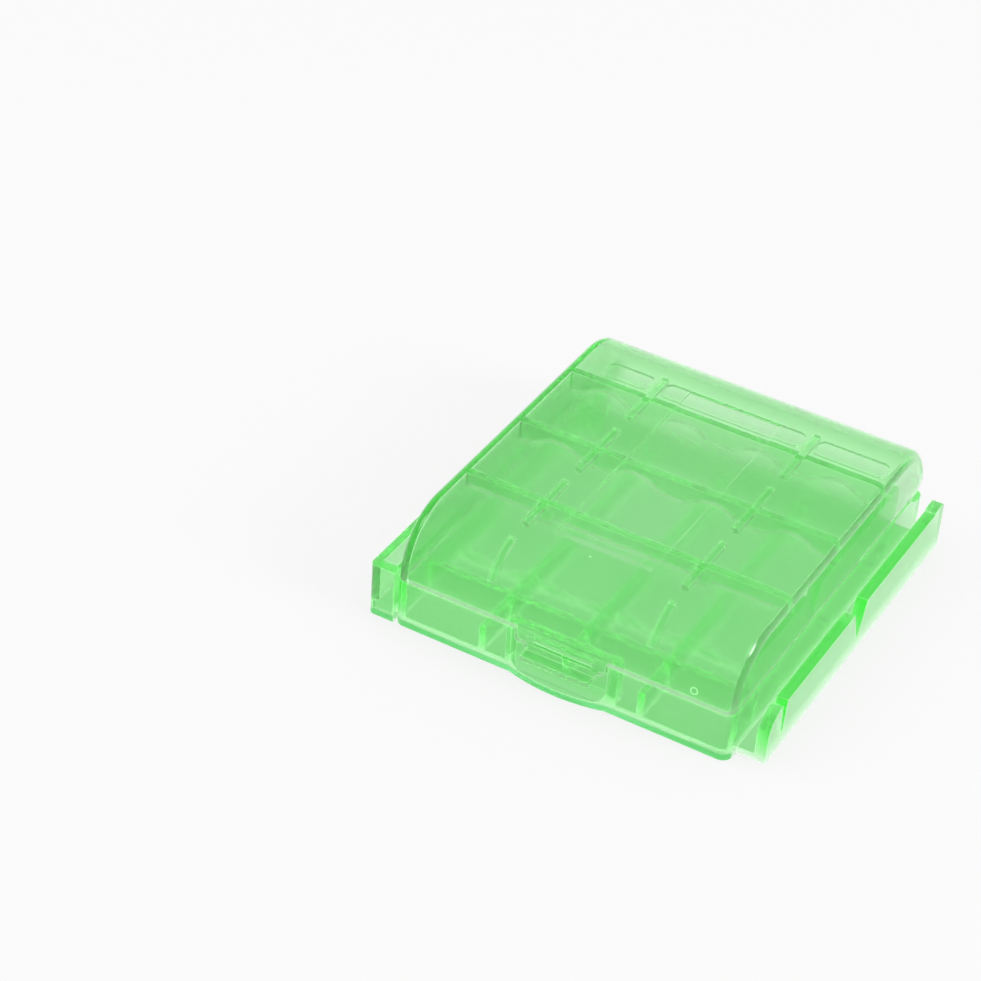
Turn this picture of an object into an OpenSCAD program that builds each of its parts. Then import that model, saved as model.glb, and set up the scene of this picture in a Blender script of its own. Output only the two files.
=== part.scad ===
// Slim moulded case for round battery cells, lying flat.
// A tray and a lid hinge together at the back, and a springy tab latches them at the front.
// Rails on the two sides of the tray let one case slide onto the next.
// X runs across the cells, Y from front to back, Z up; the origin is the middle of the underside.

/* [Cells] */
// Diameter of one cell
cell_d = 14.5; // [13.5:0.1:14.6]
// Distance from one cell's axis to the next
cell_pitch = 15.1; // [14.9:0.1:17]
// Number of cells side by side
cell_count = 4; // [4:2:8]
// Length of the bay that the cells lie in
bay_l = 52; // [48:1:60]
// Height of the cells' axes above the underside
cell_z = 9.6; // [9.4:0.1:10]
// Free space round a cell in its saddles and arches
cell_clear = 0.15; // [0.1:0.05:0.3]
// Free space beside the outer cells
side_room = 0.4; // [0.2:0.1:1.5]

/* [Tray] */
// Height of the tray's walls, where the lid starts
tray_h = 9.5; // [9:0.1:10]
// Thickness of the moulded walls
wall_t = 1.4; // [1.2:0.1:1.6]
// Thickness of the floor
floor_t = 1.4; // [1:0.1:1.8]
// Depth of the space in front of the bay
front_zone = 10.5; // [9:0.5:14]
// Depth of the space behind the bay
rear_zone = 14.5; // [14:0.5:18]
// Radius of the upright corners and of the lid's side edges
corner_r = 2; // [1.6:0.1:2.6]
// Thickness of the ribs and partitions in the tray
web_t = 1.2; // [0.8:0.1:1.6]
// Height of the partitions between the cells
partition_h = 6.2; // [5:0.1:7.5]
// Height of the low cross saddles that the cells lie on
saddle_h = 3.2; // [3:0.1:4]
// Height of the wall that stops the cells at the front
stop_h = 7.6; // [6.5:0.1:8.5]
// Height of the wall that stops the cells at the back
back_stop_h = 9.4; // [7:0.1:9.4]

/* [Lid] */
// Height of the lid above the tray's walls, and the radius of its front and back
lid_h = 11.9; // [11.6:0.1:13]
// Gap between the lid and the tray where they meet
lid_gap = 0.1; // [0.05:0.05:0.3]
// Gap between the lid's side and the raised root of the left wing
lid_side_clear = 0.15; // [0.1:0.05:0.3]
// Thickness of the lid's cross ribs
rib_t = 1.4; // [1:0.1:1.8]
// Depth that the two waved cross ribs hang below the lid's top
rib_drop = 4.3; // [3.6:0.1:4.6]
// Free height between a cell and the crown of the wave over it
wave_room = 0.9; // [0.4:0.1:1.2]
// Width of one wave in the cross ribs
wave_w = 11.2; // [10:0.2:12]
// Distance from the front of the bay to the first cross rib
rib_start = 10; // [6:0.1:10.5]
// Distance from one cross rib to the next
rib_pitch = 18.4; // [16:0.1:18.6]
// Thickness of the short lengthwise fins
fin_t = 1.3; // [0.8:0.1:1.8]
// Length of the short fins on each side of a cross rib
fin_reach = 7; // [3:0.5:7.5]
// Depth that the short fins hang below the lid's top
fin_drop = 1; // [0.6:0.1:2.4]
// Width of the feet under the front cross rib where the fins cross it
foot_w = 3.4; // [2:0.1:4]
// Depth of the gussets inside the lid's curved front
gusset_d = 1; // [0.8:0.1:2]
// Width of the flat label recess in the lid's top
panel_w = 18.2; // [10:0.2:24]
// Depth of the label recess
panel_d = 0.4; // [0.2:0.05:0.5]

/* [Hinge] */
// Distance of the hinge axis in front of the back face
hinge_in = 3.5; // [3.4:0.05:3.8]
// Height of the hinge axis above the tray's walls
hinge_up = 1.8; // [1.6:0.1:2.2]
// Radius of the hinge pins
pin_r = 1; // [0.8:0.05:1.1]
// Radial clearance of a pin in its ear
pin_clear = 0.05; // [0.03:0.01:0.1]
// Thickness of the two hinge ears
ear_t = 1.6; // [1.2:0.1:2]
// Height of the tray's back wall, low enough for the lid to swing past
back_wall_h = 7.4; // [6:0.1:7.5]
// Clearance round the lid's hinge barrel
barrel_clear = 0.25; // [0.2:0.05:0.4]

/* [Latch] */
// Width of the latch tab where it leaves the lid
tab_w = 17.2; // [12:0.2:20]
// Width of the tab's lower part
tab_low_w = 13; // [8:0.2:16]
// Depth of the tab's wide part below the tray's top edge
tab_drop = 2.5; // [2:0.1:3]
// Depth of the tab's finger lip below the tray's top edge
lip_drop = 4.3; // [3.9:0.1:4.8]
// Thickness of the finger lip
lip_t = 1; // [0.8:0.1:1.2]
// Distance that the finger lip stands forward
lip_out = 2; // [1:0.1:2.2]
// Gap between the tab and the edges of its recess
tab_clear = 0.5; // [0.3:0.05:0.8]
// Gap behind the tab
tab_back_clear = 0.7; // [0.6:0.05:0.9]
// Radius of the finger scoop under the tab
scoop_r = 3.5; // [3:0.1:3.8]
// Distance that the scoop's sill bows forward
sill_out = 1.3; // [0.6:0.1:2]

/* [Link rails] */
// Width of the channel between the tray's right wall and the rail lip
channel_w = 3.1; // [2.8:0.1:3.6]
// Thickness of the rail lip
rail_lip_t = 2.1; // [1.6:0.1:2.6]
// Height of the rail lip
rail_lip_h = 9.2; // [8.4:0.1:9.2]
// Thickness of the flange that carries the lip
flange_t = 1.3; // [1:0.1:1.6]
// Distance of the rail's front end behind the front face
rail_front = 3.3; // [3:0.1:5]
// Distance of the rail's back end in front of the back face
rail_back = 3.7; // [3:0.1:6]
// Length of the end post that stops the next case
post_l = 3.8; // [3:0.1:5]
// Height of the end post
post_h = 9.7; // [9.4:0.1:10.6]
// Height of the wing's top
wing_h = 10.6; // [10.4:0.1:10.8]
// Thickness of the wing's outer wall
wing_t = 1; // [0.8:0.1:1.2]
// Thickness of the wing's top
wing_top_t = 1.2; // [1:0.1:1.3]
// Thickness of the wing's raised root against the tray's left wall
wing_root_t = 1.2; // [0.8:0.1:1.4]
// Free space between a rail lip and the wing's root
link_room = 0.5; // [0.4:0.05:0.8]
// Gap between a rail lip and the wing's outer wall
link_clear = 0.18; // [0.1:0.02:0.3]
// Thickness of the plate that closes the wing's front
wing_front_t = 1.4; // [1:0.1:2]

/* [Hidden] */
$fn = 64;

// A cut runs this far past the face that it opens
over = 1;
// Outside sizes of the body without its rails
body_w = cell_count * cell_pitch + 2 * (wall_t + side_room);
body_d = front_zone + bay_l + rear_zone;
total_h = tray_h + lid_h;
front_y = -body_d / 2;
back_y = body_d / 2;
side_x = body_w / 2;

// The bay that the cells lie in
bay_front = front_y + front_zone;
bay_back = bay_front + bay_l;
cell_r = cell_d / 2 + cell_clear;
cell_xs = [for (i = [0:cell_count - 1]) (i - (cell_count - 1) / 2) * cell_pitch];
partition_xs = [for (i = [1:cell_count - 1]) (i - cell_count / 2) * cell_pitch];
fin_xs = [-(cell_count / 2 - 1) * cell_pitch, (cell_count / 2 - 1) * cell_pitch];
rib_ys = [for (i = [0:2]) bay_front + rib_start + i * rib_pitch];
ceiling_z = total_h - wall_t;
straight_rib_z = cell_z + cell_r;
wave_low_z = ceiling_z - rib_drop;
wave_h = straight_rib_z + wave_room - wave_low_z;
wave_steps = 16;
wave_power = 1.3;
foot_drop = 1.2;

// The lid's own width, its hinge axis and the barrel round that axis
lid_w = body_w - 2 * lid_side_clear;
lid_in_x = lid_w / 2 - wall_t;
hinge_y = back_y - hinge_in;
hinge_z = tray_h + hinge_up;
barrel_step = 0.12;
barrel_r = back_y - lid_h + sqrt(lid_h * lid_h - hinge_up * hinge_up) - hinge_y - barrel_step;
barrel_w = lid_w - 2 * barrel_step;
barrel_in_r = barrel_r - wall_t;
barrel_curl = 55;
scoop_cut_r = barrel_r + barrel_clear;
ear_r = barrel_in_r - barrel_clear;
ear_gap = 0.5;
ear_x = lid_in_x - ear_gap - ear_t;
pin_l = ear_gap + ear_t;
arm_under = 0.6;
arm_over = ear_r - 0.4;
arm_l = 4;
ear_web_l = 3.2;

// The latch recess and its finger scoop
recess_w = tab_w + 2 * tab_clear;
recess_d = wall_t + tab_back_clear;
scoop_top = flange_t + scoop_r;
bowl_r = 2.6;
sill_steps = 16;
catch_pass = 0.1;
catch_out = (tab_back_clear - catch_pass) / 2;
catch_h = 0.8;
catch_z = tray_h - 2;
hook_h = 0.8;
hook_gap = 0.2;

// The rail on the right and the wing on the left
rail_in_x = side_x + channel_w;
rail_out_x = rail_in_x + rail_lip_t;
rail_y0 = front_y + rail_front;
rail_y1 = back_y - rail_back;
post_y0 = rail_y1 - post_l;
wing_in_x = side_x + wing_root_t + link_room + rail_lip_t + link_clear;
wing_out_x = wing_in_x + wing_t;
wing_y1 = post_y0 - 0.5;
wing_low_z = flange_t + 0.5;
rail_step_h = 5;
rail_ramp_l = 4.6;
notch_low_z = 2.8;
notch_low_w = 0.6;
rail_notches = [[5.4, 1.8], [34.9, 5]];
post_r = 0.8;

// The label recess and the shallow pockets behind the last rib
panel_y0 = front_y + lid_h + 0.5;
panel_y1 = bay_back - 0.1;
panel_ramp_l = 1.6;
pocket_d = 0.45;
pocket_r = 1.4;
pocket_back = bay_back + 0.7;
pocket_skip = 5;
gusset_low = 33;
gusset_high = 76;

// A rectangle centred on X with its four corners rounded
module round_rect(x0, y0, x1, y1, r) {
  translate([x0 + r, y0]) square([x1 - x0 - 2 * r, y1 - y0]);
  translate([x0, y0 + r]) square([x1 - x0, y1 - y0 - 2 * r]);
  for (x = [x0 + r, x1 - r], y = [y0 + r, y1 - r]) translate([x, y]) circle(r);
}

// A box given by its two corners
module block(low, high) {
  translate(low) cube(high - low);
}

// A plate of an outline drawn in Y and Z, standing from x0 to x1
module side_plate(x0, x1) {
  translate([x0, 0, 0]) rotate([90, 0, 90]) linear_extrude(x1 - x0) children();
}

// A plate of an outline drawn in X and Z, standing from y0 to y1
module cross_plate(y0, y1) {
  translate([0, y1, 0]) rotate([90, 0, 0]) linear_extrude(y1 - y0) children();
}

// A bar that lies along X
module bar_x(x0, x1, y, z, r) {
  translate([x0, y, z]) rotate([0, 90, 0]) cylinder(h = x1 - x0, r = r);
}

// Half of the lid's section, from its axis out to the rounded rim
module rim_section(r, w, edge) {
  translate([0, -w / 2 + edge]) square([r, w - 2 * edge]);
  translate([0, -w / 2]) square([r - edge, w]);
  intersection() {
    for (s = [-1, 1]) translate([r - edge, s * (w / 2 - edge)]) circle(edge);
    translate([0, -w / 2]) square([r, w]);
  }
}

// The lid as a solid loaf: a quarter round at the front and back with soft side edges
module loaf(inset) {
  r = lid_h - inset;
  w = lid_w - 2 * inset;
  edge = max(corner_r - inset, 0.4);
  y0 = front_y + lid_h;
  y1 = back_y - lid_h;
  translate([0, y0, tray_h]) rotate([0, -90, 0]) rotate([0, 0, -90])
    rotate_extrude(angle = 90) rim_section(r, w, edge);
  translate([0, y1, tray_h]) rotate([0, -90, 0])
    rotate_extrude(angle = 90) rim_section(r, w, edge);
  translate([0, 0, tray_h]) cross_plate(y0, y1) intersection() {
    rotate([0, 0, 90]) rim_section(r, w, edge);
    translate([-w / 2, 0]) square([w, r]);
  }
}

// The lid's shell, cut away behind the hinge axis where the barrel takes over
module lid_shell() {
  difference() {
    loaf(0);
    loaf(wall_t);
    block([-side_x, front_y - over, tray_h - over], [side_x, back_y + over, tray_h + lid_gap]);
    block([-side_x, hinge_y, tray_h - over], [side_x, back_y + over, hinge_z]);
    side_plate(-panel_w / 2, panel_w / 2) polygon([
      [panel_y0, total_h + over],
      [panel_y0, total_h],
      [panel_y0 + panel_ramp_l, total_h - panel_d],
      [panel_y1, total_h - panel_d],
      [panel_y1, total_h + over]
    ]);
    rear_pockets();
  }
}

// Shallow rounded pockets in the underside of the lid's top, behind the last cross rib
module rear_pockets() {
  edges = [
    -lid_in_x + pocket_skip,
    fin_xs[0] - fin_t,
    fin_xs[0] + fin_t,
    fin_xs[1] - fin_t,
    fin_xs[1] + fin_t,
    lid_in_x - 0.5
  ];
  for (i = [0:2:4])
    translate([0, 0, ceiling_z - over]) linear_extrude(over + pocket_d)
      round_rect(edges[i], rib_ys[2] + rib_t, edges[i + 1], pocket_back, pocket_r);
}

// Lower edge of a waved rib over one cell, as a patch that is cut out of it
module wave_patch() {
  polygon([
    [-wave_w / 2, wave_low_z - over],
    for (i = [0:wave_steps])
      let (t = 2 * i / wave_steps - 1)
        [t * wave_w / 2, wave_low_z + wave_h * pow(max(1 - t * t, 0), wave_power)],
    [wave_w / 2, wave_low_z - over]
  ]);
}

// Cross ribs under the lid's top: a straight one at the front, then two that wave over the cells
module lid_ribs() {
  for (i = [0:2])
    cross_plate(rib_ys[i] - rib_t / 2, rib_ys[i] + rib_t / 2) difference() {
      low = i == 0 ? straight_rib_z : wave_low_z;
      translate([-lid_in_x - 0.2, low]) square([2 * lid_in_x + 0.4, ceiling_z + 0.2 - low]);
      if (i > 0) for (x = cell_xs) translate([x, 0]) wave_patch();
    }
}

// Short lengthwise fins that cross the ribs between the outer cells, with feet on the front rib
module lid_fins() {
  for (x = fin_xs) {
    for (y = rib_ys)
      block(
        [x - fin_t / 2, y - fin_reach, ceiling_z - fin_drop],
        [x + fin_t / 2, y + fin_reach, ceiling_z + 0.2]
      );
    block(
      [x - foot_w / 2, rib_ys[0] - rib_t / 2 - 0.3, straight_rib_z - foot_drop],
      [x + foot_w / 2, rib_ys[0] + rib_t / 2 + 0.3, ceiling_z - fin_drop + 0.1]
    );
  }
}

// Gussets that follow the inside of the lid's curved front
module lid_gussets() {
  for (x = fin_xs)
    translate([0, front_y + lid_h, tray_h]) side_plate(x - fin_t / 2, x + fin_t / 2) difference() {
      intersection() {
        circle(lid_h - wall_t + 0.2);
        polygon([
          [0, 0],
          2 * lid_h * [-cos(gusset_low), sin(gusset_low)],
          2 * lid_h * [-1, 1],
          2 * lid_h * [-cos(gusset_high), sin(gusset_high)]
        ]);
      }
      circle(lid_h - wall_t - gusset_d);
    }
  for (x = fin_xs)
    translate([0, front_y + lid_h, tray_h]) side_plate(x - fin_t / 2, x + fin_t / 2)
      translate((lid_h - wall_t - gusset_d / 2 + 0.1) * [-cos(gusset_low), sin(gusset_low)])
        circle(gusset_d / 2 + 0.1);
}

// The barrel that carries the lid's back edge on round the hinge axis, with its two cheeks
module lid_barrel() {
  translate([0, hinge_y, hinge_z]) difference() {
    for (a = [90, 180]) rotate([0, -90, 0]) rotate([0, 0, a])
      rotate_extrude(angle = 90) rim_section(barrel_r, barrel_w, corner_r);
    side_plate(-lid_in_x, lid_in_x) {
      circle(barrel_in_r);
      polygon([
        [0, 0],
        2 * barrel_r * [cos(barrel_curl), -sin(barrel_curl)],
        [2 * barrel_r, -2 * barrel_r],
        [-2 * barrel_r, -2 * barrel_r],
        [-2 * barrel_r, 0]
      ]);
    }
  }
}

// An inward pin on each cheek of the barrel
module lid_pin() {
  bar_x(lid_in_x - pin_l, lid_in_x + 0.2, hinge_y, hinge_z, pin_r);
}

// Outline of the latch tab, wide at the top with a narrower lower part
module tab_outline() {
  low = tray_h - lip_drop;
  step = tray_h - tab_drop;
  low_w = min(tab_low_w, tab_w - 2);
  r = min((tab_w - low_w) / 4, 1);
  translate([-low_w / 2, low]) square([low_w, lip_drop + lid_gap + 0.6]);
  translate([-tab_w / 2, step + r]) square([tab_w, tab_drop - r + lid_gap + 0.6]);
  translate([-tab_w / 2 + r, step]) square([tab_w - 2 * r, tab_drop]);
  for (s = [-1, 1]) {
    translate([s * (tab_w / 2 - r), step + r]) circle(r);
    difference() {
      translate([s * low_w / 2 - r, step - r]) square([2 * r, r + 0.1]);
      translate([s * (low_w / 2 + r), step - r]) circle(r);
    }
  }
}

// The springy latch tab with its finger lip and the ridge that holds it shut
module lid_tab() {
  low = tray_h - lip_drop;
  cross_plate(front_y, front_y + wall_t) tab_outline();
  translate([0, 0, low]) linear_extrude(lip_t)
    round_rect(-tab_low_w / 2, front_y - lip_out, tab_low_w / 2, front_y + wall_t, 0.6);
  block(
    [-tab_low_w / 2 + 1, front_y + wall_t - 0.1, catch_z - hook_gap - hook_h],
    [tab_low_w / 2 - 1, front_y + wall_t + catch_out, catch_z - hook_gap]
  );
}

module lid() {
  color("lightgreen") {
    difference() {
      union() {
        lid_shell();
        lid_ribs();
        lid_fins();
        lid_gussets();
      }
      rear_trim();
    }
    lid_barrel();
    lid_pin();
    mirror([1, 0, 0]) lid_pin();
    lid_tab();
  }
}

// What the ribs and fins must not reach into behind the hinge axis
module rear_trim() {
  block([-side_x, hinge_y, tray_h - over], [side_x, back_y + over, hinge_z]);
}

// The open tray without its inner ribs
module tray_shell() {
  difference() {
    linear_extrude(tray_h) round_rect(-side_x, front_y, side_x, back_y, corner_r);
    translate([0, 0, floor_t]) linear_extrude(tray_h)
      round_rect(-side_x + wall_t, front_y + wall_t, side_x - wall_t, back_y - wall_t, corner_r - wall_t + 0.4);
    block([-side_x - over, hinge_y, back_wall_h], [side_x + over, back_y + over, tray_h + over]);
    bar_x(-side_x - over, side_x + over, hinge_y, hinge_z, scoop_cut_r);
  }
}

// Partitions, saddles and end stops that hold the cells
module tray_webs() {
  for (x = partition_xs)
    block([x - web_t / 2, front_y + wall_t - 0.1, floor_t - 0.1], [x + web_t / 2, bay_back + 0.1, partition_h]);
  for (y = rib_ys)
    cross_plate(y - web_t / 2, y + web_t / 2) difference() {
      translate([-side_x + wall_t - 0.1, floor_t - 0.1])
        square([body_w - 2 * wall_t + 0.2, saddle_h - floor_t + 0.1]);
      for (x = cell_xs) translate([x, cell_z]) circle(cell_r);
    }
  for (w = [[bay_front - web_t, stop_h], [bay_back, back_stop_h]])
    block([-side_x + wall_t - 0.1, w[0], floor_t - 0.1], [side_x - wall_t + 0.1, w[0] + web_t, w[1]]);
}

// One hinge ear: a web on the floor with an arm that reaches back to the axis
module tray_ear() {
  side_plate(ear_x, ear_x + ear_t) difference() {
    union() {
      translate([hinge_y, hinge_z]) circle(ear_r);
      polygon([
        [hinge_y, hinge_z + arm_over],
        [hinge_y, hinge_z - arm_under],
        [hinge_y - arm_l, hinge_z - arm_under],
        [hinge_y - arm_l, floor_t - 0.1],
        [hinge_y - arm_l - ear_web_l, floor_t - 0.1],
        [hinge_y - arm_l - ear_web_l, hinge_z - arm_under],
        [hinge_y - arm_l, hinge_z + arm_over]
      ]);
    }
    translate([hinge_y, hinge_z]) circle(pin_r + pin_clear);
  }
}

// The thickened wall behind the latch, before the recess is cut
module latch_block() {
  block(
    [-recess_w / 2 - wall_t, front_y, 0],
    [recess_w / 2 + wall_t, front_y + recess_d + wall_t, tray_h]
  );
  linear_extrude(scoop_top) polygon([
    [-recess_w / 2, front_y + wall_t],
    for (i = [0:sill_steps])
      let (t = 2 * i / sill_steps - 1) [t * recess_w / 2, front_y - sill_out * (1 - t * t)],
    [recess_w / 2, front_y + wall_t]
  ]);
}

// The latch recess and the concave finger scoop below it
module latch_cut() {
  block(
    [-recess_w / 2, front_y - sill_out - over, scoop_top],
    [recess_w / 2, front_y + recess_d, tray_h + over]
  );
  intersection() {
    bar_x(-recess_w / 2, recess_w / 2, front_y + recess_d - scoop_r, scoop_top, scoop_r);
    cross_plate(front_y - sill_out - scoop_r, front_y + recess_d) intersection() {
      round_rect(-recess_w / 2, flange_t, recess_w / 2, scoop_top + 2 * bowl_r, bowl_r);
      translate([-recess_w / 2, 0]) square([recess_w, scoop_top + 0.1]);
    }
  }
}

// The small ridge that the latch tab snaps under
module latch_catch() {
  block(
    [-tab_low_w / 2 + 1, front_y + recess_d - catch_out, catch_z],
    [tab_low_w / 2 - 1, front_y + recess_d + 0.1, catch_z + catch_h]
  );
}

// Side view of the rail lip: a lead-in ramp at the front and two notches that let it flex
module rail_profile() {
  difference() {
    translate([rail_y0, 0]) square([rail_y1 - rail_y0, rail_lip_h]);
    polygon([
      [rail_y0 - over, rail_step_h],
      [rail_y0, rail_step_h],
      for (a = [0:15:90])
        [rail_y0 + rail_ramp_l * (1 - cos(a)), rail_step_h + (rail_lip_h - rail_step_h) * sin(a)],
      [rail_y0 + rail_ramp_l, rail_lip_h + over],
      [rail_y0 - over, rail_lip_h + over]
    ]);
    for (n = rail_notches) polygon([
      [rail_y0 + n[0] - notch_low_w / 2, notch_low_z],
      [rail_y0 + n[0] + notch_low_w / 2, notch_low_z],
      [rail_y0 + n[0] + n[1] / 2, rail_lip_h + 0.01],
      [rail_y0 + n[0] - n[1] / 2, rail_lip_h + 0.01]
    ]);
  }
}

// The rail on the right: a flange on the floor, an upright lip and an end post
module right_rail() {
  block([side_x - corner_r - 0.1, rail_y0, 0], [rail_out_x, rail_y1, flange_t]);
  side_plate(rail_in_x, rail_out_x) rail_profile();
  side_plate(rail_in_x, rail_out_x) {
    translate([post_y0, 0]) square([post_l, post_h - post_r]);
    translate([post_y0 + post_r, 0]) square([post_l - 2 * post_r, post_h]);
    for (y = [post_y0 + post_r, rail_y1 - post_r]) translate([y, post_h - post_r]) circle(post_r);
  }
}

// The wing on the left: a raised root, a top, an outer wall that hangs down and a front plate
module left_wing() {
  block([-side_x - wing_root_t, front_y + corner_r, 0], [-side_x + 0.1, wing_y1, tray_h]);
  block([-side_x - wing_root_t, front_y, 0], [-side_x, wing_y1, wing_h]);
  block([-wing_out_x, front_y + 1, wing_h - wing_top_t], [-side_x, wing_y1, wing_h]);
  block([-wing_out_x, front_y + 1, wing_low_z], [-wing_in_x, wing_y1, wing_h]);
  linear_extrude(wing_h)
    round_rect(-wing_out_x, front_y, -side_x, front_y + 2 * wing_front_t, 1);
}

module tray() {
  color("mediumspringgreen") {
    difference() {
      union() {
        tray_shell();
        tray_webs();
        latch_block();
      }
      latch_cut();
    }
    latch_catch();
    tray_ear();
    mirror([1, 0, 0]) tray_ear();
    right_rail();
    left_wing();
  }
}

tray();
lid();
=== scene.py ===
import bpy
import math
from mathutils import Matrix, Vector

bl_info = {
    "name": "Battery Storage Case",
    "version": (1, 0, 0),
    "blender": (4, 5, 0),
    "location": "3D View > Sidebar > Case",
    "description": "Moulded finishes, small mould marks and a studio for a hinged battery case",
    "category": "Object",
}

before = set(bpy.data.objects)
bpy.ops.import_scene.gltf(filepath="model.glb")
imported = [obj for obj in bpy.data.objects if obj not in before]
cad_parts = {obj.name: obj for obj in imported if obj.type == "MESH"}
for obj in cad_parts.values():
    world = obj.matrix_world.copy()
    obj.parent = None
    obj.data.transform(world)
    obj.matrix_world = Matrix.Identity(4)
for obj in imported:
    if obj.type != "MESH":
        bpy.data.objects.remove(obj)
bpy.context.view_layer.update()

# Width and height of the photograph, in pixels.
PHOTO_SIDE = 981

# Small rings that the mould left on the lid, shown with the painted edge highlight: centre, radius
# and half line width, in metres.
LID_MARKS = (
    ((0.0245, -0.0383, 0.0118), 0.0006, 0.0001),
    ((-0.0011, -0.0281, 0.0214), 0.0001, 0.00012),
)

# Streaks run along the cells, as the plastic flowed in the mould.
FLOW_STRETCH = (1.0, 0.25, 1.0)
DUST_SCALE = 260.0
DUST_RADIUS = 0.05
DUST_COLOUR = (0.85, 0.95, 0.85, 1.0)
SMEAR_SCALE = 35.0
SMEAR_RANGE = (0.35, 0.75)
SMEAR_ROUGHNESS = 0.04
RIPPLE_SCALE = 120.0
RIPPLE_HEIGHT = 0.0001

# Dot product of the rounded and the true normal where the painted edge highlight starts, and where
# it is at full strength.
EDGE_HIGHLIGHT_RANGE = (0.995, 0.85)
EDGE_SAMPLES = 3

# Share of light sent back from which a ray counts as totally reflected.
TOTAL_REFLECTION = 0.98
SKIN_ROUGHNESS = 0.03

# The tray's foot: how far forwards its wall faces and lies, and the heights between which its
# painted shade deepens, in metres.
FOOT_FACING = -0.3
FOOT_WALL_Y = -0.036
FOOT_RANGE = (0.0016, 0.0011)

BLACK = (0.0, 0.0, 0.0, 1.0)
WHITE = (1.0, 1.0, 1.0, 1.0)

# The floor, and the share of it that shines to the camera; the rest shows the shadow.
FLOOR_SIZE = 6.0
FLOOR_PAINT = (0.9, 0.9, 0.9, 1.0)
FLOOR_GLOW = 0.8

# Colour of the room, both where it is seen and as light.
ROOM_COLOUR = (0.8, 0.8, 0.8, 1.0)

# Axis, and the distances from the middle between which the painted green shadow under the case
# fades out.
PAINTED_SHADOW_RANGES = (("X", 0.040, 0.037), ("Y", 0.042, 0.0392))

# Name, place and side of each square lamp, in metres; both point at the case.
KEY_LAMP = ("key light", (0.86, 0.05, 0.5), 0.3)
FILL_LAMP = ("fill light", (-0.6, -0.25, 0.7), 0.35)

SENSOR_WIDTH = 36.0
CLIP_NEAR = 0.01
CLIP_FAR = 20.0


class CasePlastic(bpy.types.PropertyGroup):
    """Colours and gloss of the clear green plastic"""

    skin_colour: bpy.props.FloatVectorProperty(
        name="Skin colour",
        description="Tint of light that passes through the plastic's surface",
        default=(0.94, 1.0, 0.94),
        subtype="COLOR",
        size=3,
        min=0.0,
        max=1.0,
    )
    streak: bpy.props.FloatProperty(
        name="Streaks",
        description="How much deeper in colour the flow streaks left by moulding are",
        default=0.06,
        subtype="FACTOR",
        min=0.0,
        max=1.0,
    )
    depth_colour: bpy.props.FloatVectorProperty(
        name="Depth colour",
        description="Colour that thick plastic tends towards",
        default=(0.10, 0.945, 0.10),
        subtype="COLOR",
        size=3,
        min=0.0,
        max=1.0,
    )
    # Painted shade: a darker green low on the tray's outer front, where the floor plate is seen
    # edge-on.
    foot_shade_colour: bpy.props.FloatVectorProperty(
        name="Foot shade colour",
        description="Deeper colour along the tray's front, where its wall runs into the floor",
        default=(0.05, 0.62, 0.10),
        subtype="COLOR",
        size=3,
        min=0.0,
        max=1.0,
    )
    depth_density: bpy.props.FloatProperty(
        name="Depth density",
        description="How fast light is absorbed inside the plastic, per metre",
        default=215.0,
        min=0.0,
    )
    # Painted glow: emission where a ray inside the plastic is totally reflected, in place of the
    # light that cloudy plastic scatters out.
    painted_inner_glow: bpy.props.FloatVectorProperty(
        name="Painted inner glow",
        description="Light that the plastic shows where it is totally reflected inside",
        default=(0.09, 0.11, 0.09),
        subtype="COLOR",
        size=3,
        min=0.0,
        max=1.0,
    )
    # Painted highlight: emission along the moulded edges and the mould's rings, in place of the
    # light that they catch.
    painted_edge_highlight: bpy.props.FloatVectorProperty(
        name="Painted edge highlight",
        description="Light that the thin moulded edges catch",
        default=(0.30, 0.42, 0.28),
        subtype="COLOR",
        size=3,
        min=0.0,
        max=1.0,
    )
    # Width of the painted edge highlight.
    edge_width: bpy.props.FloatProperty(
        name="Edge width",
        description="Width over which a moulded edge catches the light",
        default=0.0002,
        unit="LENGTH",
        min=0.0,
    )
    clearness: bpy.props.FloatProperty(
        name="Clearness",
        description="Share of light that passes through instead of scattering at the surface",
        default=1.0,
        subtype="FACTOR",
        min=0.0,
        max=1.0,
    )
    ripple: bpy.props.FloatProperty(
        name="Ripple",
        description="Strength of the faint ripple in the moulded surface",
        default=0.04,
        subtype="FACTOR",
        min=0.0,
        max=1.0,
    )
    gloss: bpy.props.FloatProperty(
        name="Base roughness",
        description="Roughness of the plastic under its glossy skin, which blurs what lies behind",
        default=0.2,
        subtype="FACTOR",
        min=0.0,
        max=1.0,
    )
    ior: bpy.props.FloatProperty(
        name="Refractive index",
        description="Refractive index under the skin, low as the plastic is slightly cloudy",
        default=1.25,
        min=1.0,
        max=2.0,
    )


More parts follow.
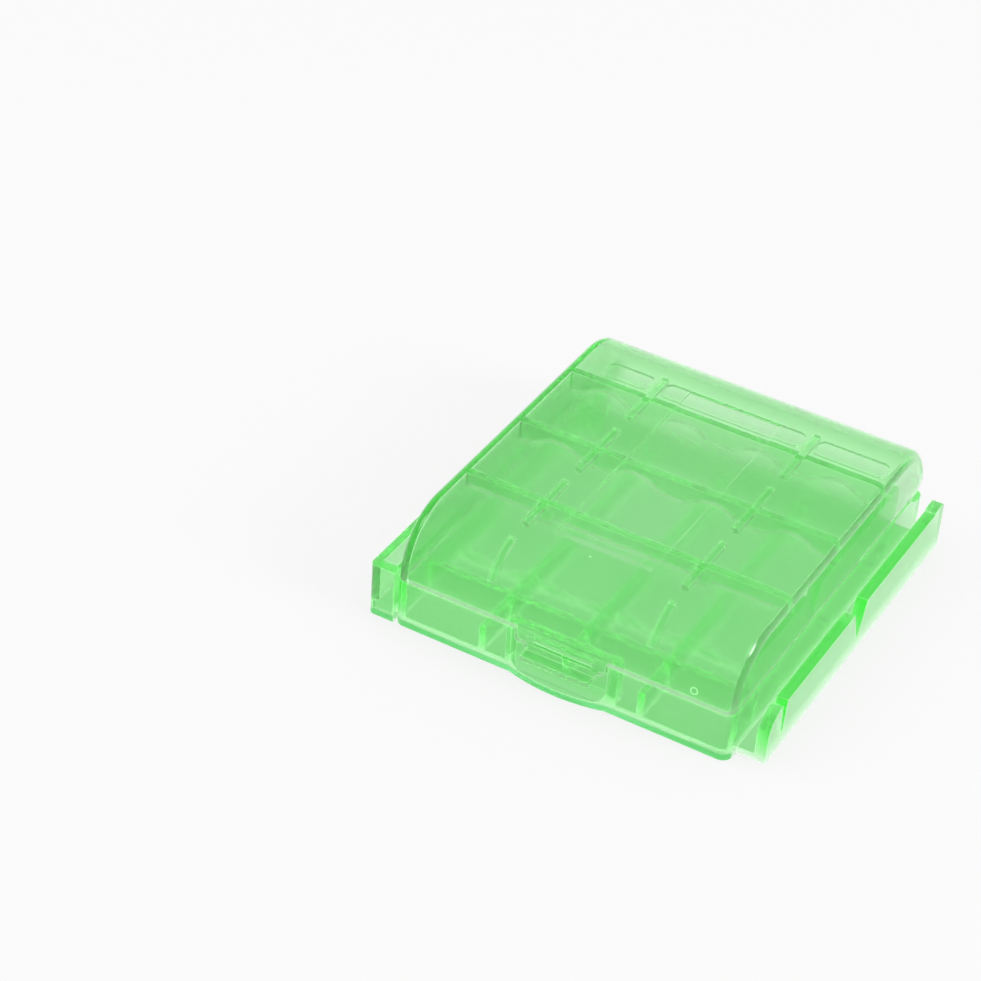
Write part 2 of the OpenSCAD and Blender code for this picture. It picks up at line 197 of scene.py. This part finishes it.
class CaseStudio(bpy.types.PropertyGroup):
    """Camera and lights, as the photograph has them"""

    azimuth: bpy.props.FloatProperty(
        name="Azimuth",
        description="Direction of the camera round the case, from its front towards its rail side",
        default=math.radians(27.89),
        subtype="ANGLE",
    )
    elevation: bpy.props.FloatProperty(
        name="Elevation",
        description="Height of the camera above the horizon",
        default=math.radians(36.94),
        subtype="ANGLE",
    )
    roll: bpy.props.FloatProperty(
        name="Roll",
        description="Turn of the camera about its own axis",
        default=math.radians(-4.09),
        subtype="ANGLE",
    )
    distance: bpy.props.FloatProperty(
        name="Distance",
        description="Distance from the camera to its target",
        default=0.53464,
        unit="LENGTH",
        min=0.01,
    )
    target: bpy.props.FloatVectorProperty(
        name="Target",
        description="Point that the camera looks at",
        default=(-0.03396, -0.00269, 0.005),
        subtype="TRANSLATION",
        size=3,
    )
    focal_px: bpy.props.FloatProperty(
        name="Focal length in pixels",
        description="Focal length of the photograph, in its own pixels",
        default=3000.0,
        min=100.0,
    )
    key_power: bpy.props.FloatProperty(
        name="Key light",
        description="Power of the soft light on the rail side",
        default=3.0,
        unit="POWER",
        min=0.0,
    )
    fill_power: bpy.props.FloatProperty(
        name="Fill light",
        description="Power of the soft light above the wing side",
        default=1.0,
        unit="POWER",
        min=0.0,
    )
    # Painted shadow: the green colour of the floor under the case, in place of light that passed
    # through the plastic.
    painted_shadow_colour: bpy.props.FloatVectorProperty(
        name="Painted shadow colour",
        description="Colour of the floor seen through the case, lit by light that came through it",
        default=(0.40, 0.77, 0.41),
        subtype="COLOR",
        size=3,
        min=0.0,
        max=1.0,
    )
    room: bpy.props.FloatProperty(
        name="Room light",
        description="Strength of the even light from all round",
        default=0.85,
        min=0.0,
    )


def add_node(tree, kind, x, y, label=""):
    node = tree.nodes.new(kind)
    node.location = (x, y)
    node.label = label
    return node


def feed(tree, value, socket):
    """Link another socket in, or set a plain number or colour."""
    if isinstance(value, bpy.types.NodeSocket):
        tree.links.new(value, socket)
    else:
        socket.default_value = value


def maths(tree, operation, values, x, y, label=""):
    node = add_node(tree, "ShaderNodeMath", x, y, label)
    node.operation = operation
    for value, socket in zip(values, node.inputs):
        feed(tree, value, socket)
    return node.outputs["Value"]


def ramp(tree, value, start_end, x, y, low=0.0, high=1.0, label=""):
    """Map a value from low at the first of two numbers to high at the second."""
    node = add_node(tree, "ShaderNodeMapRange", x, y, label)
    node.inputs["From Min"].default_value, node.inputs["From Max"].default_value = start_end
    node.inputs["To Min"].default_value = low
    node.inputs["To Max"].default_value = high
    feed(tree, value, node.inputs["Value"])
    return node.outputs["Result"]


def colour_mix(tree, factor, first, second, x, y, label=""):
    node = add_node(tree, "ShaderNodeMix", x, y, label)
    node.data_type = "RGBA"
    for name, value in (("Factor", factor), ("A", first), ("B", second)):
        feed(tree, value, node.inputs[name])
    return node.outputs["Result"]


def noise(tree, where, scale, detail, x, y, label):
    node = add_node(tree, "ShaderNodeTexNoise", x, y, label)
    for name, value in (("Vector", where), ("Scale", scale), ("Detail", detail)):
        feed(tree, value, node.inputs[name])
    return node.outputs["Fac"]


def object_place(tree, x, y):
    """Object coordinates, as one vector."""
    return add_node(tree, "ShaderNodeTexCoord", x, y).outputs["Object"]


def split_xyz(tree, vector, x, y):
    node = add_node(tree, "ShaderNodeSeparateXYZ", x, y)
    feed(tree, vector, node.inputs["Vector"])
    return node.outputs


def cleared_tree(owner, kind):
    """The emptied node tree of a material or a world, and its output node."""
    owner.use_nodes = True
    tree = owner.node_tree
    tree.nodes.clear()
    return tree, add_node(tree, kind, 600, 0)


def new_group(name, inputs, outputs):
    """A new node group, the values that come into it, and the sockets that it puts out."""
    group = bpy.data.node_groups.new(name, "ShaderNodeTree")
    for label, kind, default in inputs:
        socket = group.interface.new_socket(name=label, in_out="INPUT", socket_type=kind)
        socket.default_value = default
    for label, kind in outputs:
        group.interface.new_socket(name=label, in_out="OUTPUT", socket_type=kind)
    into = add_node(group, "NodeGroupInput", -1200, 0)
    out = add_node(group, "NodeGroupOutput", 900, 0)
    return group, into.outputs, out.inputs


def moulding_group():
    """Shared effect: flow streaks, a faint ripple, smears and fine dust of moulded plastic."""
    name = "moulded surface"
    if name in bpy.data.node_groups:
        return bpy.data.node_groups[name]
    inputs = (
        ("Colour", "NodeSocketColor", (0.3, 0.8, 0.3, 1.0)),
        ("Streak colour", "NodeSocketColor", (0.2, 0.7, 0.2, 1.0)),
        ("Roughness", "NodeSocketFloat", 0.08),
        ("Dust", "NodeSocketFloat", 0.4),
        ("Ripple", "NodeSocketFloat", 0.15),
        ("Flow scale", "NodeSocketFloat", 60.0),
    )
    outputs = (
        ("Colour", "NodeSocketColor"),
        ("Roughness", "NodeSocketFloat"),
        ("Normal", "NodeSocketVector"),
    )
    group, into, out = new_group(name, inputs, outputs)
    where = object_place(group, -1000, -300)
    stretch = add_node(group, "ShaderNodeMapping", -800, -300, "along the flow")
    stretch.inputs["Scale"].default_value = FLOW_STRETCH
    feed(group, where, stretch.inputs["Vector"])
    along = stretch.outputs["Vector"]

    flow = noise(group, along, into["Flow scale"], 3.0, -600, -200, "flow streaks")
    streaked = colour_mix(group, flow, into["Colour"], into["Streak colour"], -200, 100)
    specks = add_node(group, "ShaderNodeTexVoronoi", -600, -500, "dust")
    specks.inputs["Scale"].default_value = DUST_SCALE
    feed(group, where, specks.inputs["Vector"])
    near = ramp(group, specks.outputs["Distance"], (0.0, DUST_RADIUS), -400, -500, 1.0, 0.0)
    dusty = maths(group, "MULTIPLY", (near, into["Dust"]), -200, -400)
    dusted = colour_mix(group, dusty, streaked, DUST_COLOUR, 100, 100, "pale specks")
    feed(group, dusted, out["Colour"])

    smear = noise(group, where, SMEAR_SCALE, 5.0, -600, -800, "handling smears")
    spread = ramp(group, smear, SMEAR_RANGE, -400, -800, 0.0, SMEAR_ROUGHNESS)
    rough = maths(group, "ADD", (into["Roughness"], spread), -200, -700)
    feed(group, rough, out["Roughness"])

    ripple = noise(group, along, RIPPLE_SCALE, 2.0, -600, -1100, "faint ripple")
    bump = add_node(group, "ShaderNodeBump", -200, -1000)
    bump.inputs["Distance"].default_value = RIPPLE_HEIGHT
    feed(group, into["Ripple"], bump.inputs["Strength"])
    feed(group, ripple, bump.inputs["Height"])
    feed(group, bump.outputs["Normal"], out["Normal"])
    return group


def edge_highlight_group():
    """Shared effect: a mask for the painted highlight, strong where a moulded edge rounds off."""
    name = "edge catch"
    if name in bpy.data.node_groups:
        return bpy.data.node_groups[name]
    inputs = (("Width", "NodeSocketFloat", 0.0002),)
    group, into, out = new_group(name, inputs, (("Edge", "NodeSocketFloat"),))
    rounded = add_node(group, "ShaderNodeBevel", -600, 0)
    rounded.samples = EDGE_SAMPLES
    feed(group, into["Width"], rounded.inputs["Radius"])
    true = add_node(group, "ShaderNodeNewGeometry", -600, -200)
    same = add_node(group, "ShaderNodeVectorMath", -300, 0)
    same.operation = "DOT_PRODUCT"
    feed(group, rounded.outputs["Normal"], same.inputs[0])
    feed(group, true.outputs["Normal"], same.inputs[1])
    feed(group, ramp(group, same.outputs["Value"], EDGE_HIGHLIGHT_RANGE, 0, 0), out["Edge"])
    return group


def ring_group():
    """Shared effect: a small ring that the mould left, as a mask."""
    name = "mould ring"
    if name in bpy.data.node_groups:
        return bpy.data.node_groups[name]
    inputs = (
        ("Centre", "NodeSocketVector", (0.0, 0.0, 0.0)),
        ("Radius", "NodeSocketFloat", 0.0008),
        ("Line", "NodeSocketFloat", 0.0001),
    )
    group, into, out = new_group(name, inputs, (("Ring", "NodeSocketFloat"),))
    away = add_node(group, "ShaderNodeVectorMath", -600, 0)
    away.operation = "DISTANCE"
    feed(group, object_place(group, -800, -200), away.inputs[0])
    feed(group, into["Centre"], away.inputs[1])
    values = (away.outputs["Value"], into["Radius"], into["Line"])
    feed(group, maths(group, "COMPARE", values, -300, 0), out["Ring"])
    return group


def foot_shade_group():
    """Painted shade on the tray: a darker colour low on its outer front, where wall and floor
    meet.
    """
    name = "front foot"
    if name in bpy.data.node_groups:
        return bpy.data.node_groups[name]
    inputs = (
        ("Colour", "NodeSocketColor", WHITE),
        ("Foot shade colour", "NodeSocketColor", (0.05, 0.62, 0.10, 1.0)),
    )
    group, into, out = new_group(name, inputs, (("Colour", "NodeSocketColor"),))
    place = split_xyz(group, object_place(group, -1000, -100), -800, -100)
    turn = add_node(group, "ShaderNodeNewGeometry", -1000, -400)
    facing = split_xyz(group, turn.outputs["Normal"], -800, -400)
    forward = maths(
        group, "LESS_THAN", (facing["Y"], FOOT_FACING), -600, -400, "faces the front"
    )
    ahead = maths(group, "LESS_THAN", (place["Y"], FOOT_WALL_Y), -600, -200, "on the front wall")
    outer = maths(group, "MULTIPLY", (forward, ahead), -400, -300)
    low = ramp(group, place["Z"], FOOT_RANGE, -200, -200, label="height of the floor")
    share = maths(group, "MULTIPLY", (low, outer), 0, -200)
    step = colour_mix(group, share, into["Colour"], into["Foot shade colour"], 200, 100)
    feed(group, step, out["Colour"])
    return group


def painted_inner_glow_colour(tree, settings):
    """Colour of the painted glow, sent out as emission, where a ray inside the plastic is totally
    reflected.
    """
    mirrored = add_node(tree, "ShaderNodeFresnel", -900, -300)
    mirrored.inputs["IOR"].default_value = settings.ior
    inside = add_node(tree, "ShaderNodeNewGeometry", -900, -500)
    values = (mirrored.outputs["Fac"], TOTAL_REFLECTION)
    trapped = maths(tree, "GREATER_THAN", values, -700, -300, "totally reflected")
    values = (trapped, inside.outputs["Backfacing"])
    deep = maths(tree, "MULTIPLY", values, -500, -300, "painted glow inside the plastic")
    return colour_mix(tree, deep, BLACK, (*settings.painted_inner_glow, 1.0), -100, -300)


def painted_highlight_mask(tree, settings, marks):
    """Mask of the edges, and of the mould's rings, that get the painted highlight."""
    edges = add_node(tree, "ShaderNodeGroup", -700, -700)
    edges.node_tree = edge_highlight_group()
    edges.inputs["Width"].default_value = settings.edge_width
    lit = edges.outputs["Edge"]
    for i, (centre, radius, half_line) in enumerate(marks, 1):
        ring = add_node(tree, "ShaderNodeGroup", -700, -700 - 200 * i)
        ring.node_tree = ring_group()
        ring.inputs["Centre"].default_value = centre
        ring.inputs["Radius"].default_value = radius
        ring.inputs["Line"].default_value = half_line
        lit = maths(tree, "MAXIMUM", (lit, ring.outputs["Ring"]), -500, -700 - 200 * i)
    return lit


def clear_plastic(name, settings, dust, flow_scale, marks=(), foot=False):
    """One clear green plastic: Principled for the surface, absorption for its depth."""
    mat = bpy.data.materials.new(name)
    tree, out = cleared_tree(mat, "ShaderNodeOutputMaterial")
    skin = add_node(tree, "ShaderNodeBsdfPrincipled", 100, 0)
    effect = add_node(tree, "ShaderNodeGroup", -300, 0)
    effect.node_tree = moulding_group()
    colour = settings.skin_colour
    streak = (channel * (1 - settings.streak) for channel in colour)
    effect.inputs["Colour"].default_value = (*colour, 1.0)
    effect.inputs["Streak colour"].default_value = (*streak, 1.0)
    effect.inputs["Roughness"].default_value = settings.gloss
    effect.inputs["Dust"].default_value = dust
    effect.inputs["Ripple"].default_value = settings.ripple
    effect.inputs["Flow scale"].default_value = flow_scale
    tint = effect.outputs["Colour"]
    # Painted shade low on the tray's outer front.
    if foot:
        foot_shade_node = add_node(tree, "ShaderNodeGroup", -100, 200)
        foot_shade_node.node_tree = foot_shade_group()
        foot_shade_node.inputs["Foot shade colour"].default_value = (*settings.foot_shade_colour, 1.0)
        feed(tree, tint, foot_shade_node.inputs["Colour"])
        tint = foot_shade_node.outputs["Colour"]
    lit = painted_highlight_mask(tree, settings, marks)
    kept = painted_inner_glow_colour(tree, settings)
    # Painted highlight on the edges and rings, over the painted inner glow, both sent out as
    # emission.
    glow = colour_mix(tree, lit, kept, (*settings.painted_edge_highlight, 1.0), -100, -600)
    for socket, value in (
        ("Base Color", tint),
        ("Roughness", effect.outputs["Roughness"]),
        ("Normal", effect.outputs["Normal"]),
        ("IOR", settings.ior),
        ("Transmission Weight", settings.clearness),
        ("Coat Weight", 1.0),
        ("Coat Roughness", SKIN_ROUGHNESS),
        ("Emission Color", glow),
        ("Emission Strength", 1.0),
    ):
        feed(tree, value, skin.inputs[socket])
    depth = add_node(tree, "ShaderNodeVolumeAbsorption", 100, -500)
    depth.inputs["Color"].default_value = (*settings.depth_colour, 1.0)
    depth.inputs["Density"].default_value = settings.depth_density
    feed(tree, skin.outputs["BSDF"], out.inputs["Surface"])
    feed(tree, depth.outputs["Volume"], out.inputs["Volume"])
    return mat


def dress(node, mat):
    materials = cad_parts[node].data.materials
    materials.clear()
    materials.append(mat)


class CASE_OT_tray_finish(bpy.types.Operator):
    """Give the tray its clear green plastic"""

    bl_idname = "case.tray_finish"
    bl_label = "Finish the tray"

    def execute(self, context):
        settings = context.scene.case_plastic
        mat = clear_plastic("tray plastic", settings, dust=0.3, flow_scale=45.0, foot=True)
        dress("tray", mat)
        return {"FINISHED"}


class CASE_OT_lid_finish(bpy.types.Operator):
    """Give the lid its clear green plastic"""

    bl_idname = "case.lid_finish"
    bl_label = "Finish the lid"

    def execute(self, context):
        settings = context.scene.case_plastic
        mat = clear_plastic("lid plastic", settings, dust=0.35, flow_scale=60.0, marks=LID_MARKS)
        dress("lid", mat)
        return {"FINISHED"}


def flat_floor():
    mesh = bpy.data.meshes.new("studio floor")
    h = FLOOR_SIZE / 2
    mesh.from_pydata([(-h, -h, 0), (h, -h, 0), (h, h, 0), (-h, h, 0)], [], [(0, 1, 2, 3)])
    floor = bpy.data.objects.new("studio floor", mesh)
    bpy.context.scene.collection.objects.link(floor)
    return floor


def light_paths(tree):
    """The kinds of ray, and a mask of those that a surface mirrored or let through."""
    path = add_node(tree, "ShaderNodeLightPath", -600, 0).outputs
    values = (path["Is Glossy Ray"], path["Is Transmission Ray"])
    return path, maths(tree, "MAXIMUM", values, -400, 0)


def mixed_shader(tree, share, first, second, out):
    """Mix two shaders and send them to the output."""
    mix = add_node(tree, "ShaderNodeMixShader", 300, 0)
    feed(tree, share, mix.inputs["Fac"])
    feed(tree, first, mix.inputs[1])
    feed(tree, second, mix.inputs[2])
    feed(tree, mix.outputs["Shader"], out.inputs["Surface"])


def floor_material(painted_shadow_colour):
    """A white floor, with a painted green shadow where it is seen through the case that it
    carries.
    """
    mat = bpy.data.materials.new("floor white")
    tree, out = cleared_tree(mat, "ShaderNodeOutputMaterial")
    paint = add_node(tree, "ShaderNodeBsdfDiffuse", 0, 100)
    paint.inputs["Color"].default_value = FLOOR_PAINT
    path, mirrored_or_through = light_paths(tree)
    place = split_xyz(tree, object_place(tree, -1200, -500), -1000, -500)
    # Painted shadow: transmission rays see the floor green under the case.
    painted_shadow_share = path["Is Transmission Ray"]
    for i, (axis, *reach) in enumerate(PAINTED_SHADOW_RANGES):
        y = -400 - 200 * i
        away = maths(tree, "ABSOLUTE", (place[axis],), -800, y)
        fade = ramp(tree, away, reach, -600, y, label="under the case")
        painted_shadow_share = maths(tree, "MULTIPLY", (painted_shadow_share, fade), -400, y)
    shade = colour_mix(
        tree, painted_shadow_share, WHITE, (*painted_shadow_colour, 1.0), -200, -200, "lit through the case"
    )
    white = add_node(tree, "ShaderNodeEmission", 0, -100)
    feed(tree, shade, white.inputs["Color"])
    values = (path["Is Camera Ray"], FLOOR_GLOW)
    glow = maths(tree, "MULTIPLY", values, -400, 200, "bright to the camera, with its shadow")
    share = maths(tree, "MAXIMUM", (glow, mirrored_or_through), -200, 100)
    mixed_shader(tree, share, paint.outputs["BSDF"], white.outputs["Emission"], out)
    return mat


def room_world(strength):
    """Even light from all round, and the pale room that the gloss and the camera see."""
    world = bpy.data.worlds.new("room")
    bpy.context.scene.world = world
    tree, out = cleared_tree(world, "ShaderNodeOutputWorld")
    seen = add_node(tree, "ShaderNodeBackground", 0, 100)
    light = add_node(tree, "ShaderNodeBackground", 0, -100)
    light.inputs["Strength"].default_value = strength
    for background in (seen, light):
        background.inputs["Color"].default_value = ROOM_COLOUR
    path, mirrored_or_through = light_paths(tree)
    share = maths(tree, "MAXIMUM", (mirrored_or_through, path["Is Camera Ray"]), -200, 200)
    mixed_shader(tree, share, light.outputs["Background"], seen.outputs["Background"], out)


def soft_lamp(name, where, side, power):
    """A square lamp that points at the case."""
    data = bpy.data.lights.new(name, "AREA")
    data.size = side
    data.energy = power
    lamp = bpy.data.objects.new(name, data)
    bpy.context.scene.collection.objects.link(lamp)
    lamp.location = where
    lamp.rotation_mode = "QUATERNION"
    lamp.rotation_quaternion = (-Vector(where)).to_track_quat("-Z", "Y")


def photo_camera(studio):
    """The camera that the photograph was taken with, as fitted to its edges."""
    az, el = studio.azimuth, studio.elevation
    back = Vector((math.sin(az) * math.cos(el), -math.cos(az) * math.cos(el), math.sin(el)))
    ahead = -back
    right = ahead.cross(Vector((0, 0, 1))).normalized()
    down = ahead.cross(right)
    c, s = math.cos(studio.roll), math.sin(studio.roll)
    across = c * right + s * down
    below = -s * right + c * down
    data = bpy.data.cameras.new("photo camera")
    data.sensor_width = SENSOR_WIDTH
    data.lens = SENSOR_WIDTH * studio.focal_px / PHOTO_SIDE
    data.clip_start = CLIP_NEAR
    data.clip_end = CLIP_FAR
    cam = bpy.data.objects.new("photo camera", data)
    bpy.context.scene.collection.objects.link(cam)
    turn = Matrix((across, -below, back)).transposed().to_4x4()
    place = Vector(studio.target) + back * studio.distance
    cam.matrix_world = Matrix.Translation(place) @ turn
    bpy.context.scene.camera = cam


class CASE_OT_stage(bpy.types.Operator):
    """Set the pale floor, the lights and the camera"""

    bl_idname = "case.stage"
    bl_label = "Set the stage"

    def execute(self, context):
        studio = context.scene.case_studio
        floor = flat_floor()
        floor.data.materials.append(floor_material(studio.painted_shadow_colour))
        room_world(studio.room)
        soft_lamp(*KEY_LAMP, studio.key_power)
        soft_lamp(*FILL_LAMP, studio.fill_power)
        photo_camera(studio)
        context.scene.view_settings.view_transform = "Standard"
        return {"FINISHED"}


class CASE_PT_sidebar(bpy.types.Panel):
    """The case's finishes, studio and building steps"""

    bl_idname = "CASE_PT_sidebar"
    bl_label = "Battery case"
    bl_space_type = "VIEW_3D"
    bl_region_type = "UI"
    bl_category = "Case"

    def draw(self, context):
        for group in (context.scene.case_plastic, context.scene.case_studio):
            box = self.layout.box()
            for prop in group.bl_rna.properties:
                if prop.identifier not in {"rna_type", "name"}:
                    box.prop(group, prop.identifier)
        for operator in OPERATORS:
            self.layout.operator(operator.bl_idname)


OPERATORS = (CASE_OT_tray_finish, CASE_OT_lid_finish, CASE_OT_stage)
CLASSES = (CasePlastic, CaseStudio, *OPERATORS, CASE_PT_sidebar)


def register():
    for cls in CLASSES:
        bpy.utils.register_class(cls)
    bpy.types.Scene.case_plastic = bpy.props.PointerProperty(type=CasePlastic)
    bpy.types.Scene.case_studio = bpy.props.PointerProperty(type=CaseStudio)


def unregister():
    del bpy.types.Scene.case_studio
    del bpy.types.Scene.case_plastic
    for cls in reversed(CLASSES):
        bpy.utils.unregister_class(cls)


def main():
    register()
    bpy.ops.case.tray_finish()
    bpy.ops.case.lid_finish()
    bpy.ops.case.stage()


if __name__ == "__main__":
    main()
